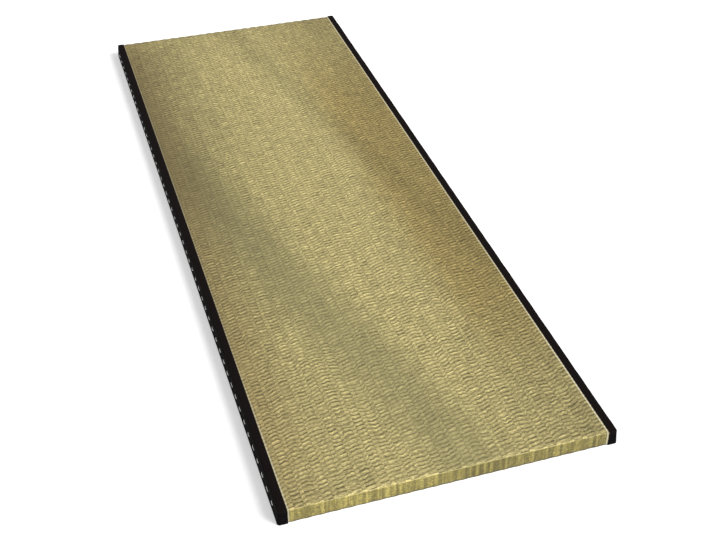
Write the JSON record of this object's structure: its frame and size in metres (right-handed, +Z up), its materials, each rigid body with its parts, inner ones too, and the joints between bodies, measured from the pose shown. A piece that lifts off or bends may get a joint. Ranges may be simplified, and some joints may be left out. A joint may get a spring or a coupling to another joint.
{
  "type": "tatami mat",
  "caption": "Flat rush-covered tatami mat with a dark cloth border folded over each long side and rush folded over the ends.",
  "frame": {"origin": "middle of the underside", "axes": "+Y along the mat's length, +X across its width, +Z up out of the rush face"},
  "size_m": [0.6998, 2, 0.036],
  "materials": {
    "rush": "woven rush, olive straw, dull with a slight sheen",
    "border_cloth": "plain-woven black cloth, matt"
  },
  "bodies": {
    "root": {"rush_body": "rush", "border_left": "border_cloth", "border_right": "border_cloth"}
  },
  "joints": []
}
